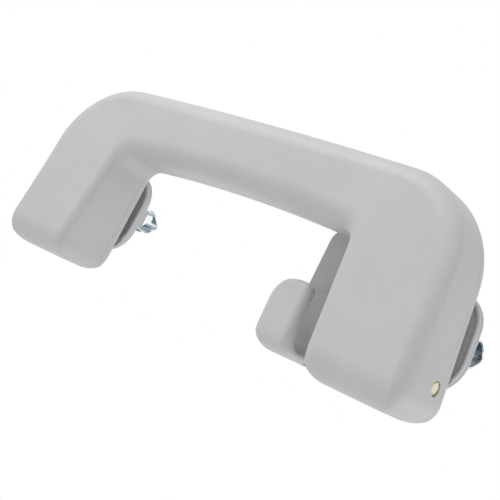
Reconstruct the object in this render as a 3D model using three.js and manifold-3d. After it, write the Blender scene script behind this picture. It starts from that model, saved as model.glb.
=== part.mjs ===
// Fold-down roof grab handle with a coat hook.
//
// A U-shaped hollow grip swings on two hinge pins. Each pin runs through the knuckle of a small base that
// clips into the roof panel. A torsion spring lifts the grip at the right base, and a rotary damper slows it
// at the left base. Millimetres. X runs along the bar, +Y into the roof panel and +Z up the arms.
// The origin lies midway between the bases, on the panel, level with the hinge axis.

import * as THREE from 'three';
import { mergeVertices } from 'three/addons/utils/BufferGeometryUtils.js';
import Module from 'manifold-3d';

const wasm = await Module();
wasm.setup();

// ---- Driving dimensions ---------------------------------------------------------------------------------

const HINGE_Y = -17.3;
const GAP = 0.3;

// Front view of the grip: where the straight edges of an arm start and where they would meet the bar.
const FOOT_Z = -14.5;
const FOOT_OUTER_X = 112;
const FOOT_INNER_X = 71;
const HEAD_OUTER_X = 105.5;
const HEAD_INNER_X = 64.5;
const BAR_TOP_Z = 67.5;
const BAR_UNDER_Z = 38.2;
const TOP_ARCH = 1.6;
const UNDER_ARCH = 2.4;
const OUTER_CORNER_R = 35;
const INNER_CORNER_R = 8;

// Side view of the grip: the front and back faces are planes that lean towards each other.
const BAR_MID_Z = (BAR_TOP_Z + BAR_UNDER_Z) / 2;
const FRONT_FOOT_Y = -40;
const FRONT_BAR_Y = -34.6;
const BACK_FOOT_Y = -6.6;
const BACK_BAR_Y = -10.6;

// Edge roundings of the grip's section at the foot, the shoulder and the bar, each as [across, through].
const FRONT_INNER_R = [[4, 4], [4, 4], [9, 9]];
const FRONT_OUTER_R = [[4.5, 10], [7.5, 4], [8, 8]];
const BACK_EDGE_R = 3.2;
const LEAST_R = 0.8;
const FOOT_END_R = { inner: 6, outer: 10.4, front: 12, back: 10.4 };

// Shells.
const WALL = 2.6;
const COVER_DEPTH = 5;
const SCREWS = [[-87, 44], [-32, 53], [32, 53], [87, 44]];
const SCREW_BOSS_R = 3.6;
const SCREW_SHANK_R = 1.4;
const SCREW_HEAD_R = 3;
const SCREW_HEAD_T = 1.4;
const SCREW_LENGTH = 12;

// Knuckle: the slot in each arm, the lugs of the base and the pin through both.
const SLOT_X = [76, 102.5];
const SLOT_REACH = 7.5;
const SLOT_WALL = 2.2;
const LUG_R = 6.6;
const LUG_T = 4;
const LUG_FOOT_Z = -2.2;
const PIN_R = 2.7;
const PIN_X = [73, 110.4];
const PIN_CHAMFER = 0.5;

// Bases.
const BASE_X = 89.75;
const FLANGE_HALF_WIDTH = 19.9;
const FLANGE_Z = [-2.4, 36.4];
const FLANGE_CORNER_R = [15, 12.5];
const FLANGE_EDGE_R = 0.6;
const FLANGE_FRONT_Y = -3.8;
const RIM_WIDTH = 2.2;
const DISH_DEPTH = 1;
const HOOK_PLATE_T = 1.5;
const POST_X = 94.2;
const POST_Z = 19;
const POST_SIZE = [11, 10.4];
const POST_CORE = [10, 7.4];
const POST_HOLE_ROOM = 1.6;
const POST_END_Y = 20.5;
const PLUG_HEAD = [15, 11];
const PLUG_HEAD_T = 0.8;
const PLUG_BLADE = [4.4, 3];
const PLUG_END_Y = 17;

// Spring clips.
const CLIP_WIDTH = 8;
const CLIP_T = 0.9;
const CLIP_TIP_Y = 31.4;
// Side view of one flank: how far behind the panel, and how far off the post.
const CLIP_FLANK = [[1.2, 0], [7, 0.1], [13, 0.5], [19, 1.3], [25, 0.7], [29.3, -2]];

// Coat hook.
const HOOK_X = [32.4, 49.6];
const HOOK_Z = [-12, 17];
const HOOK_FRONT_Y = -21.6;
const PADDLE_T = 5.4;
const HOOK_BACK_T = 3;
const HOOK_FLOOR_T = 4;
const HOOK_CORNER_R = 6;
const PADDLE_TOP_R = 10;
const HOOK_EDGE_R = 1.2;
const HOOK_FOOT_R = [2, 7];
const HOOK_THROAT_EASE = 0.1;
const PLATE_TOP_Z = 43.5;
const PLATE_TOP_X = [34, 57.6];
const PLATE_LAP = 4;

// Spring and damper, measured along the pin and out from its axis.
const SPRING_TURNS = 8;
const SPRING_COIL_R = 4.5;
const SPRING_WIRE_R = 0.6;
const SPRING_LEG = 7;
const SLEEVE_R = 3.6;
const SLEEVE_RIM_R = 5.2;
const SLEEVE_RIM_T = 1;
const ROTOR_R = 4;
const ROTOR_DISC_T = 1.5;
const ROTOR_TANG_REACH = 11;
const ROTOR_TANG_T = 3;
const DAMPER_R = 6;
const DAMPER_LID_R = 5.2;
const DAMPER_LID_T = 1.4;
const DAMPER_KEY = 2.2;
const DAMPER_KEY_INSET = [3, 4];
const DAMPER_KEY_ROOT = 0.4;

// Lengths that carry a cut clear of the body it is made in.
const OVERRUN = 1;
const FAR = 150;

const MERGE_DISTANCE = 1e-4;
const ROUND_SEGMENTS = 24;
const CORNER_SEGMENTS = 4;
const ARC_SEGMENTS = 9;
const CLIP_SEGMENTS = 36;
const COIL_SEGMENTS = 12;
const LEG_SEGMENTS = 2;
const WIRE_SEGMENTS = 3;

// ---- Materials ------------------------------------------------------------------------------------------

const paint = (name, color, roughness, metalness) =>
  Object.assign(new THREE.MeshStandardMaterial({ color, roughness, metalness }), { name });

const shellPlastic = paint('shell_plastic', 0xbfc0c2, 0.55, 0);
const basePlastic = paint('base_plastic', 0xb4b5b6, 0.6, 0);
const springSteel = paint('zinc_spring_steel', 0xc9d2d6, 0.25, 1);
const pinSteel = paint('yellow_zinc_steel', 0xc9b98a, 0.35, 1);
const damperPlastic = paint('damper_plastic', 0x2c2d2f, 0.6, 0);
const plainSteel = paint('plain_steel', 0x9da0a3, 0.4, 1);

// ---- Solids ---------------------------------------------------------------------------------------------

function signedVolume(positions, triangles) {
  const corner = (k) => new THREE.Vector3().fromArray(positions, 3 * triangles[k]);
  let volume = 0;
  for (let k = 0; k < triangles.length; k += 3) {
    volume += corner(k).dot(corner(k + 1).cross(corner(k + 2))) / 6;
  }
  return volume;
}

/** A closed geometry as a solid whose faces point out. */
function solid(geometry) {
  const bare = geometry.clone();
  bare.deleteAttribute('normal');
  bare.deleteAttribute('uv');
  const merged = mergeVertices(bare, MERGE_DISTANCE);
  const vertProperties = Float32Array.from(merged.attributes.position.array);
  const corners = [];
  for (let k = 0; k < merged.index.count; k += 3) {
    const [a, b, c] = [0, 1, 2].map((step) => merged.index.getX(k + step));
    if (a !== b && b !== c && c !== a) corners.push(a, b, c);
  }
  const triVerts = Uint32Array.from(corners);
  if (signedVolume(vertProperties, triVerts) < 0) triVerts.reverse();
  return new wasm.Manifold(new wasm.Mesh({ numProp: 3, vertProperties, triVerts }));
}

function geometryOf(manifold) {
  const { vertProperties, triVerts } = manifold.getMesh();
  const geometry = new THREE.BufferGeometry();
  geometry.setAttribute('position', new THREE.BufferAttribute(Float32Array.from(vertProperties), 3));
  geometry.setIndex(new THREE.BufferAttribute(Uint32Array.from(triVerts), 1));
  geometry.computeVertexNormals();
  return geometry;
}

const join = (first, ...others) => others.reduce((sum, other) => sum.add(other), first);
const cut = (first, ...others) => others.reduce((rest, other) => rest.subtract(other), first);

/** A node made on the right side (+X), or its mirror image on the left. */
function node(name, manifold, material, side = 1) {
  const geometry = geometryOf(manifold);
  if (side < 0) {
    geometry.scale(-1, 1, 1);
    geometry.index.array.reverse();
    geometry.computeVertexNormals();
  }
  const mesh = new THREE.Mesh(geometry, material.clone());
  mesh.name = name;
  return mesh;
}

// ---- Plain shapes ---------------------------------------------------------------------------------------

function block([x0, x1], [y0, y1], [z0, z1]) {
  const geometry = new THREE.BoxGeometry(x1 - x0, y1 - y0, z1 - z0);
  return solid(geometry.translate((x0 + x1) / 2, (y0 + y1) / 2, (z0 + z1) / 2));
}

/** A block given by its middle and its size across x and z. */
function post([x, z], [width, height], ySpan) {
  return block([x - width / 2, x + width / 2], ySpan, [z - height / 2, z + height / 2]);
}

/** Settings of an extrusion whose bevel stays inside the outline and the depth. */
function extrusion(depth, bevel) {
  return {
    depth: depth - 2 * bevel,
    bevelEnabled: bevel > 0,
    bevelThickness: bevel,
    bevelSize: bevel,
    bevelOffset: -bevel,
    bevelSegments: 2,
    curveSegments: 5,
  };
}

/** A front-view outline (x, z) with thickness along Y. */
function slabFacingFront(shape, [y0, y1], bevel = 0) {
  const geometry = new THREE.ExtrudeGeometry(shape, extrusion(y1 - y0, bevel));
  return solid(geometry.rotateX(Math.PI / 2).translate(0, y1 - bevel, 0));
}

/** A side-view outline (y, z) with thickness along X. */
function slabFacingSide(shape, [x0, x1], bevel = 0) {
  const geometry = new THREE.ExtrudeGeometry(shape, extrusion(x1 - x0, bevel));
  const yAxis = new THREE.Vector3(0, 1, 0);
  const zAxis = new THREE.Vector3(0, 0, 1);
  const xAxis = new THREE.Vector3(1, 0, 0);
  geometry.applyMatrix4(new THREE.Matrix4().makeBasis(yAxis, zAxis, xAxis));
  return solid(geometry.translate(x0 + bevel, 0, 0));
}

/** A closed outline through the corners, each given as [x, y, radius]. */
function roundedOutline(corners) {
  const points = corners.map(([x, y]) => new THREE.Vector2(x, y));
  const shape = new THREE.Shape();
  corners.forEach(([, , radius], k) => {
    const here = points[k];
    const before = points.at(k - 1).clone().sub(here).normalize();
    const after = points[(k + 1) % points.length].clone().sub(here).normalize();
    const reach = radius / Math.tan(before.angleTo(after) / 2);
    const start = here.clone().addScaledVector(before, reach);
    const end = here.clone().addScaledVector(after, reach);
    if (k === 0) shape.moveTo(start.x, start.y);
    else shape.lineTo(start.x, start.y);
    if (radius > 0) arcBetween(shape, start, end, here, radius);
  });
  shape.closePath();
  return shape;
}

/** The arc that is tangent to both edges of a corner. */
function arcBetween(shape, start, end, corner, radius) {
  const chordMiddle = start.clone().add(end).multiplyScalar(0.5);
  const inward = chordMiddle.clone().sub(corner).normalize();
  const centre = corner.clone().addScaledVector(inward, Math.hypot(radius, start.distanceTo(corner)));
  const from = start.clone().sub(centre).angle();
  const to = end.clone().sub(centre).angle();
  const turn = start.clone().sub(corner).cross(end.clone().sub(corner));
  shape.absarc(centre.x, centre.y, radius, from, to, turn > 0);
}

/** A body turned round an axis parallel to X, from a closed profile of [x, radius] points. */
function turned(profile, [y, z] = [HINGE_Y, 0]) {
  const points = profile.map(([x, radius]) => new THREE.Vector2(radius, x));
  const geometry = new THREE.LatheGeometry(points, ROUND_SEGMENTS);
  return solid(geometry.rotateZ(-Math.PI / 2).translate(0, y, z));
}

const ring = ([x0, x1], innerR, outerR) =>
  turned([[x0, innerR], [x1, innerR], [x1, outerR], [x0, outerR], [x0, innerR]]);

const pinBore = ([x0, x1], radius = PIN_R + GAP) => turned([[x0, 0], [x0, radius], [x1, radius], [x1, 0]]);

/** A round bar along Y. */
function barAlongY([x, z], radius, [y0, y1]) {
  const geometry = new THREE.CylinderGeometry(radius, radius, y1 - y0, ROUND_SEGMENTS);
  return solid(geometry.translate(x, (y0 + y1) / 2, z));
}

// ---- Grip body ------------------------------------------------------------------------------------------

const slopeBetween = (footY, barY) => (barY - footY) / (BAR_MID_Z - FOOT_Z);
const frontY = (z) => FRONT_FOOT_Y + slopeBetween(FRONT_FOOT_Y, FRONT_BAR_Y) * (z - FOOT_Z);
const backY = (z) => BACK_FOOT_Y + slopeBetween(BACK_FOOT_Y, BACK_BAR_Y) * (z - FOOT_Z);

/** One edge of the grip in front view, from the foot of the arm to the middle of the bar, in three curves. */
function edgeCurves(footX, headX, headZ, radius, arch, inset) {
  const foot = new THREE.Vector2(footX, FOOT_Z + inset);
  const head = new THREE.Vector2(headX, headZ);
  const up = head.clone().sub(foot).normalize();
  const inward = new THREE.Vector2(-headX, 2 * arch).normalize();
  const reach = radius * Math.tan(up.angleTo(inward) / 2);
  const start = head.clone().addScaledVector(up, -reach);
  const end = head.clone().addScaledVector(inward, reach);
  const centre = start.clone().add(new THREE.Vector2(-up.y, up.x).multiplyScalar(radius));
  const angleOf = (point) => point.clone().sub(centre).angle();
  const control = end.clone().addScaledVector(inward, end.x / 2 / -inward.x);
  const crown = new THREE.Vector2(0, control.y);
  return [
    new THREE.LineCurve(foot, start),
    new THREE.EllipseCurve(centre.x, centre.y, radius, radius, angleOf(start), angleOf(end)),
    new THREE.QuadraticBezierCurve(end, control, crown),
  ];
}

/** Rounded rectangle in (across, through) with its four corner radii, from the inner front corner on. */
function sectionPoints(width, depth, cornerRadii) {
  const places = [[0, 0], [1, 0], [1, 1], [0, 1]];
  return places.flatMap(([side, back], k) => {
    const [ru, rv] = cornerRadii[k];
    const centreU = side ? width - ru : ru;
    const centreV = back ? depth - rv : rv;
    return Array.from({ length: CORNER_SEGMENTS + 1 }, (_, step) => {
      const angle = Math.PI + (Math.PI / 2) * (k + step / CORNER_SEGMENTS);
      return [centreU + ru * Math.cos(angle), centreV + rv * Math.sin(angle)];
    });
  });
}

/** A rounding at a place along the grip: 0 at the foot, 1 at the shoulder and 2 on the bar. */
function roundingAt(stations, place, margins) {
  const from = Math.min(Math.floor(place), 1);
  const mixed = stations[from].map((r, k) => THREE.MathUtils.lerp(r, stations[from + 1][k], place - from));
  return mixed.map((r, k) => Math.max(r - margins[k], LEAST_R));
}

/** How far each side of the section has drawn in at a height above the end of the arm. */
function endMargins(rise, inset) {
  const drawnIn = (fullR) => {
    const radius = fullR - inset;
    const drop = Math.max(radius - rise, 0);
    return inset + radius - Math.sqrt(radius * radius - drop * drop);
  };
  return Object.fromEntries(Object.entries(FOOT_END_R).map(([side, radius]) => [side, drawnIn(radius)]));
}

/** One ring of the grip: its section between an outer and an inner point of the front view. */
function gripRing(outer, inner, place, margins) {
  const across = outer.clone().sub(inner);
  const width = across.length() - margins.inner - margins.outer;
  across.normalize();
  const frontInnerR = roundingAt(FRONT_INNER_R, place, [margins.inner, margins.front]);
  const frontOuterR = roundingAt(FRONT_OUTER_R, place, [margins.outer, margins.front]);
  const backR = ['outer', 'inner'].map((side) =>
    [margins[side], margins.back].map((margin) => Math.max(BACK_EDGE_R - margin, LEAST_R)));
  const radii = [frontInnerR, frontOuterR, ...backR];
  const middleZ = (outer.y + inner.y) / 2;
  const depth = backY(middleZ) - frontY(middleZ);
  return sectionPoints(width, depth - margins.front - margins.back, radii).map(([u, v]) => {
    const point = inner.clone().addScaledVector(across, u + margins.inner);
    const y = THREE.MathUtils.lerp(frontY(point.y), backY(point.y), (v + margins.front) / depth);
    return new THREE.Vector3(point.x, y, point.y);
  });
}

/** The grip's outer form, or with an inset the same form that much smaller all round. */
function gripForm(inset) {
  const outer = edgeCurves(FOOT_OUTER_X, HEAD_OUTER_X, BAR_TOP_Z, OUTER_CORNER_R, TOP_ARCH, inset);
  const inner = edgeCurves(FOOT_INNER_X, HEAD_INNER_X, BAR_UNDER_Z, INNER_CORNER_R, UNDER_ARCH, inset);
  const endR = Math.max(...Object.values(FOOT_END_R)) - inset;
  const plain = endMargins(Infinity, inset);
  const armLength = outer[0].getLength();
  const rings = [];
  for (let k = 0; k <= CORNER_SEGMENTS; k += 1) {
    const angle = (Math.PI / 2) * (1 - k / CORNER_SEGMENTS);
    const rise = endR * (1 - Math.sin(angle));
    const t = rise / armLength;
    const innerT = rise / inner[0].getLength();
    rings.push(gripRing(outer[0].getPoint(t), inner[0].getPoint(innerT), t, endMargins(rise, inset)));
  }
  rings.push(gripRing(outer[0].getPoint(1), inner[0].getPoint(1), 1, plain));
  for (let k = 1; k <= ARC_SEGMENTS; k += 1) {
    const t = k / ARC_SEGMENTS;
    const place = 1 + THREE.MathUtils.smoothstep(t, 0, 1);
    rings.push(gripRing(outer[1].getPoint(t), inner[1].getPoint(t), place, plain));
  }
  for (const t of [0.5, 1]) {
    rings.push(gripRing(outer[2].getPoint(t), inner[2].getPoint(t), 2, plain));
  }
  const leftRings = rings.slice(0, -1).reverse();
  const mirrored = leftRings.map((points) => points.map(({ x, y, z }) => new THREE.Vector3(-x, y, z)));
  return solid(loft([...rings, ...mirrored]));
}

/** A closed skin over rings with the same number of points, with a flat fan over each end. */
function loft(rings) {
  const count = rings[0].length;
  const middle = (points) =>
    points.reduce((sum, point) => sum.add(point), new THREE.Vector3()).divideScalar(count);
  const vertices = [...rings.flat(), middle(rings[0]), middle(rings.at(-1))];
  const firstMiddle = rings.length * count;
  const lastRing = (rings.length - 1) * count;
  const triangles = [];
  for (let k = 0; k < count; k += 1) {
    const next = (k + 1) % count;
    triangles.push(firstMiddle, next, k);
    triangles.push(firstMiddle + 1, lastRing + k, lastRing + next);
    for (let r = 0; r < lastRing; r += count) {
      triangles.push(r + k, r + next, r + count + next);
      triangles.push(r + k, r + count + next, r + count + k);
    }
  }
  const geometry = new THREE.BufferGeometry().setFromPoints(vertices);
  return geometry.setIndex(triangles);
}

/** Everything behind a plane that lies a set depth in front of the grip's back face. */
function behindParting(depth) {
  const corner = (z, y) => [y, z, 0];
  const outline = [
    corner(-FAR, backY(-FAR) - depth),
    corner(-FAR, FAR),
    corner(FAR, FAR),
    corner(FAR, backY(FAR) - depth),
  ];
  return slabFacingSide(roundedOutline(outline), [-FAR, FAR]);
}

/** The block that carries a pin stays solid, and the base swings in the slot through it. */
const knuckleBlock = (side, reach, [x0, x1]) =>
  block(side > 0 ? [x0, x1] : [-x1, -x0], [HINGE_Y - reach, 0], [FOOT_Z - OVERRUN, reach]);

function hollowGrip() {
  const cavity = cut(
    gripForm(WALL),
    knuckleBlock(1, SLOT_REACH + SLOT_WALL, [HEAD_INNER_X, FOOT_OUTER_X]),
    knuckleBlock(-1, SLOT_REACH + SLOT_WALL, [HEAD_INNER_X, FOOT_OUTER_X]),
  );
  return cut(
    gripForm(0),
    cavity,
    knuckleBlock(1, SLOT_REACH, SLOT_X),
    knuckleBlock(-1, SLOT_REACH, SLOT_X),
  );
}

function gripFrontShell(hollow) {
  const inside = gripForm(WALL / 2);
  let shell = cut(hollow, behindParting(COVER_DEPTH + GAP / 2));
  for (const [x, z] of SCREWS) {
    const seat = backY(z) - COVER_DEPTH - GAP / 2;
    const boss = barAlongY([x, z], SCREW_BOSS_R, [frontY(z), seat]).intersect(inside);
    const pilot = barAlongY([x, z], SCREW_SHANK_R + GAP, [seat - SCREW_LENGTH, seat + COVER_DEPTH]);
    shell = cut(join(shell, cut(boss, behindParting(COVER_DEPTH + GAP / 2))), pilot);
  }
  const boreEnd = FOOT_OUTER_X + OVERRUN;
  const borePlaces = [[PIN_X[0] - GAP, boreEnd], [-boreEnd, -PIN_X[0] + GAP]];
  shell = cut(shell, ...borePlaces.map((span) => pinBore(span)));
  return cut(shell, damperKeyway());
}

function gripBackCover(hollow) {
  const cover = hollow.intersect(behindParting(COVER_DEPTH - GAP / 2));
  const holes = SCREWS.flatMap(([x, z]) => [
    barAlongY([x, z], SCREW_SHANK_R + GAP, [backY(z) - 10, 0]),
    barAlongY([x, z], SCREW_HEAD_R + GAP, [backY(z) - SCREW_HEAD_T - GAP, 0]),
  ]);
  return cut(cover, ...holes);
}

/** A countersunk-flush screw: its head sits in the cover and its shank in the boss of the front shell. */
function coverScrew([x, z]) {
  const top = backY(z) - GAP;
  const head = barAlongY([x, z], SCREW_HEAD_R, [top - SCREW_HEAD_T + GAP, top]);
  const shank = barAlongY([x, z], SCREW_SHANK_R, [top - SCREW_LENGTH, top - SCREW_HEAD_T / 2]);
  const recess = post([x, z], [2.4, 0.8], [top - 0.8, top + 1]);
  const crossRecess = post([x, z], [0.8, 2.4], [top - 0.8, top + 1]);
  return cut(join(head, shank), recess, crossRecess);
}

function hingePin() {
  const [x0, x1] = PIN_X;
  const narrow = PIN_R - PIN_CHAMFER;
  return turned([
    [x0, 0],
    [x0, narrow],
    [x0 + PIN_CHAMFER, PIN_R],
    [x1 - PIN_CHAMFER, PIN_R],
    [x1, narrow],
    [x1, 0],
  ]);
}

// ---- Bases ----------------------------------------------------------------------------------------------

/** Outline of a base flange in front view; it leans inward with the arm above it. */
function flangeOutline(inset) {
  const [bottom, top] = FLANGE_Z;
  const lean = (HEAD_OUTER_X - FOOT_OUTER_X) / (BAR_TOP_Z - FOOT_Z);
  const middle = (bottom + top) / 2;
  const [lowerR, upperR] = FLANGE_CORNER_R;
  const corner = (side, z, radius) => [
    BASE_X + side * (FLANGE_HALF_WIDTH - inset) + lean * (z - middle),
    z + Math.sign(middle - z) * inset,
    radius - inset,
  ];
  return roundedOutline([
    corner(1, bottom, lowerR),
    corner(1, top, upperR),
    corner(-1, top, upperR),
    corner(-1, bottom, lowerR),
  ]);
}

/** Side view of a hinge lug: an eye round the pin and a web back to the flange. */
function lugOutline() {
  const shape = new THREE.Shape();
  const lowerAngle = -Math.PI / 3;
  const rootY = FLANGE_FRONT_Y + DISH_DEPTH + 2 * GAP;
  shape.moveTo(HINGE_Y, LUG_R);
  shape.absarc(HINGE_Y, 0, LUG_R, Math.PI / 2, 2 * Math.PI + lowerAngle, false);
  shape.lineTo(rootY, LUG_FOOT_Z);
  shape.lineTo(rootY, LUG_R);
  shape.closePath();
  return shape;
}

const lugSpans = () => [
  [SLOT_X[0] + GAP, SLOT_X[0] + GAP + LUG_T],
  [SLOT_X[1] - GAP - LUG_T, SLOT_X[1] - GAP],
];

/** The free length of pin between the two lugs. */
const betweenLugs = () => [lugSpans()[0][1] + GAP, lugSpans()[1][0] - GAP];

/** Room for the rounded foot of the arm, which sweeps past the flange as the grip swings. */
function footSweep() {
  const endR = FOOT_END_R.back;
  const cornerY = BACK_FOOT_Y - endR - HINGE_Y;
  const cornerZ = FOOT_Z + endR;
  return pinBore([0, FOOT_OUTER_X + OVERRUN], Math.hypot(cornerY, cornerZ) + endR + GAP);
}

/** The post that enters the panel, with a channel above and below its core for the clip's flanks. */
function clipPost(flangeBackY) {
  const ySpan = [flangeBackY - GAP, POST_END_Y];
  const place = [POST_X, POST_Z];
  const channelSize = [CLIP_WIDTH + 2 * GAP, POST_SIZE[1] + 2 * OVERRUN];
  const channels = post(place, channelSize, [flangeBackY, POST_END_Y + OVERRUN]);
  return cut(post(place, POST_SIZE, ySpan), cut(channels, post(place, POST_CORE, [-FAR, FAR])));
}

function baseBracket(flangeBackY) {
  const frontFace = [FLANGE_FRONT_Y, flangeBackY];
  const flange = slabFacingFront(flangeOutline(0), frontFace, FLANGE_EDGE_R);
  const dishY = [FLANGE_FRONT_Y - OVERRUN, FLANGE_FRONT_Y + DISH_DEPTH];
  const dish = slabFacingFront(flangeOutline(RIM_WIDTH), dishY);
  const lugs = lugSpans().map((span) => slabFacingSide(lugOutline(), span));
  const bladeSlot = post([POST_X, POST_Z], PLUG_BLADE.map((size) => size + 2 * GAP), [-FAR, FAR]);
  const bore = pinBore([SLOT_X[0] - OVERRUN, SLOT_X[1] + OVERRUN]);
  return cut(join(cut(flange, dish, footSweep()), clipPost(flangeBackY), ...lugs), bladeSlot, bore);
}

/** The plug that closes the base from the front; its blade spreads the clip inside the post. */
function lockPlug() {
  const headFront = FLANGE_FRONT_Y + DISH_DEPTH - GAP - PLUG_HEAD_T;
  const head = post([POST_X, POST_Z], PLUG_HEAD, [headFront, headFront + PLUG_HEAD_T]);
  const blade = post([POST_X, POST_Z], PLUG_BLADE, [headFront + PLUG_HEAD_T / 2, PLUG_END_Y]);
  return join(head, blade);
}

/** Side view of the clip: a strip that wraps the post, bulges on both flanks and arches past its end. */
function clipOutline() {
  const half = POST_CORE[1] / 2 + GAP + CLIP_T / 2;
  const flank = CLIP_FLANK.map(([y, off]) => [y, half + off]);
  const tip = [CLIP_TIP_Y - CLIP_T / 2, 0];
  const lower = flank.map(([y, z]) => [y, -z]).reverse();
  const path = [...flank, tip, ...lower].map(([y, z]) => new THREE.Vector3(y, z + POST_Z, 0));
  const middleLine = new THREE.CatmullRomCurve3(path, false, 'centripetal');
  const side = (sign) => {
    const points = [];
    for (let k = 0; k <= CLIP_SEGMENTS; k += 1) {
      const tangent = middleLine.getTangent(k / CLIP_SEGMENTS);
      const normal = new THREE.Vector3(-tangent.y, tangent.x, 0).multiplyScalar((sign * CLIP_T) / 2);
      points.push(middleLine.getPoint(k / CLIP_SEGMENTS).add(normal));
    }
    return points.map(({ x, y }) => new THREE.Vector2(x, y));
  };
  return new THREE.Shape([...side(1), ...side(-1).reverse()]);
}

const springClip = () =>
  slabFacingSide(clipOutline(), [POST_X - CLIP_WIDTH / 2, POST_X + CLIP_WIDTH / 2]);

// ---- Coat hook ------------------------------------------------------------------------------------------

/** Side view of the hook: a J whose long leg lies on the roof panel. */
function hookOutline() {
  const [bottom, top] = HOOK_Z;
  const throatBack = -HOOK_BACK_T;
  const throatFront = HOOK_FRONT_Y + PADDLE_T;
  const throatR = (throatBack - throatFront) / 2 - HOOK_THROAT_EASE;
  const paddleTopR = PADDLE_T / 2 - HOOK_THROAT_EASE;
  const floor = bottom + HOOK_FLOOR_T;
  return roundedOutline([
    [0, bottom, HOOK_FOOT_R[0]],
    [0, top, 0],
    [throatBack, top, 0],
    [throatBack, floor, throatR],
    [throatFront, floor, throatR],
    [throatFront, top, paddleTopR],
    [HOOK_FRONT_Y, top, paddleTopR],
    [HOOK_FRONT_Y, bottom, HOOK_FOOT_R[1]],
  ]);
}

/** Front view of the plate that the hook grows from; it lies under the right flange. */
function plateOutline() {
  const [bottom] = HOOK_Z;
  const flangeEdge = BASE_X - FLANGE_HALF_WIDTH;
  const [flangeBottom, flangeTop] = FLANGE_Z;
  return roundedOutline([
    [HOOK_X[0], bottom, HOOK_CORNER_R],
    [flangeEdge - PLATE_LAP / 2, bottom, 2 * PLATE_LAP],
    [flangeEdge + PLATE_LAP, flangeBottom + PLATE_LAP, PLATE_LAP / 2],
    [BASE_X, flangeBottom + PLATE_LAP / 2, 0],
    [BASE_X, flangeTop, 0],
    [flangeEdge + PLATE_LAP / 2, flangeTop + PLATE_LAP / 2, HOOK_CORNER_R],
    [PLATE_TOP_X[1], PLATE_TOP_Z, HOOK_CORNER_R],
    [PLATE_TOP_X[0], PLATE_TOP_Z, HOOK_CORNER_R],
  ]);
}

function coatHook() {
  const frontView = roundedOutline([
    [HOOK_X[0], HOOK_Z[0], HOOK_CORNER_R],
    [HOOK_X[1], HOOK_Z[0], HOOK_CORNER_R / 2],
    [HOOK_X[1], HOOK_Z[1], HOOK_CORNER_R / 2],
    [HOOK_X[0], HOOK_Z[1], PADDLE_TOP_R],
  ]);
  const hook = slabFacingSide(hookOutline(), HOOK_X, HOOK_EDGE_R)
    .intersect(slabFacingFront(frontView, [HOOK_FRONT_Y - OVERRUN, OVERRUN]));
  const plate = slabFacingFront(plateOutline(), [-HOOK_PLATE_T, 0]);
  const underFlange = slabFacingFront(flangeOutline(0), [-HOOK_PLATE_T, 0]);
  const postHole = post([POST_X, POST_Z], POST_SIZE.map((size) => size + POST_HOLE_ROOM), [-FAR, FAR]);
  return cut(join(hook, plate, underFlange), postHole);
}

// ---- Spring and damper ----------------------------------------------------------------------------------

function springSleeve() {
  const [x0, x1] = betweenLugs();
  const bore = PIN_R + GAP;
  return turned([
    [x0, bore],
    [x1, bore],
    [x1, SLEEVE_RIM_R],
    [x1 - SLEEVE_RIM_T, SLEEVE_RIM_R],
    [x1 - SLEEVE_RIM_T, SLEEVE_R],
    [x0 + SLEEVE_RIM_T, SLEEVE_R],
    [x0 + SLEEVE_RIM_T, SLEEVE_RIM_R],
    [x0, SLEEVE_RIM_R],
    [x0, bore],
  ]);
}

/** Middle line of the spring: a leg towards the base, the coil round the pin, and a leg into the arm. */
function torsionSpring() {
  const [x0, x1] = betweenLugs();
  const inset = SLEEVE_RIM_T + GAP + SPRING_WIRE_R;
  const start = x0 + inset;
  const length = x1 - x0 - 2 * inset;
  const steps = SPRING_TURNS * COIL_SEGMENTS;
  const points = [new THREE.Vector3(start, HINGE_Y + SPRING_LEG, -SPRING_COIL_R)];
  for (let k = 0; k <= steps; k += 1) {
    const angle = -Math.PI / 2 - (2 * Math.PI * k) / COIL_SEGMENTS;
    const y = HINGE_Y + SPRING_COIL_R * Math.cos(angle);
    points.push(new THREE.Vector3(start + (length * k) / steps, y, SPRING_COIL_R * Math.sin(angle)));
  }
  points.push(new THREE.Vector3(start + length, HINGE_Y - SPRING_LEG, -SPRING_COIL_R));
  const path = new THREE.CatmullRomCurve3(points, false, 'centripetal');
  const wire = new THREE.Shape().absarc(0, 0, SPRING_WIRE_R, 0, 2 * Math.PI);
  const pathSteps = steps + 2 * LEG_SEGMENTS;
  const settings = { steps: pathSteps, curveSegments: WIRE_SEGMENTS, bevelEnabled: false, extrudePath: path };
  return solid(new THREE.ExtrudeGeometry(wire, settings));
}

/** Turned tube on the pin with a driven disc and a tang that catches the base. */
function damperRotor() {
  const [x0, x1] = betweenLugs();
  const tube = ring([x0, x1], PIN_R + GAP, ROTOR_R);
  const disc = ring([x0, x0 + ROTOR_DISC_T], PIN_R + GAP, DAMPER_R);
  const tangY = [HINGE_Y + ROTOR_R, HINGE_Y + ROTOR_TANG_REACH];
  const tang = block([x0, x0 + ROTOR_DISC_T], tangY, [-ROTOR_TANG_T / 2, ROTOR_TANG_T / 2]);
  return join(tube, disc, tang);
}

const damperSpan = () => [betweenLugs()[0] + ROTOR_DISC_T + GAP, betweenLugs()[1] - GAP];

/** Keyed to the arm, so that it turns round the rotor as the grip swings. */
function damperHousing() {
  const [x0, x1] = damperSpan();
  const body = ring([x0, x1], ROTOR_R + GAP, DAMPER_R);
  const lidSeat = ring([x1 - DAMPER_LID_T - GAP, x1 + OVERRUN], ROTOR_R, DAMPER_LID_R + GAP);
  const key = block(
    [x0 + DAMPER_KEY_INSET[0], x1 - DAMPER_KEY_INSET[1]],
    [HINGE_Y - SLOT_REACH - DAMPER_KEY / 2, HINGE_Y - DAMPER_R + DAMPER_KEY_ROOT],
    [-DAMPER_KEY / 2, DAMPER_KEY / 2],
  );
  return cut(join(body, key), lidSeat);
}

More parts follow.
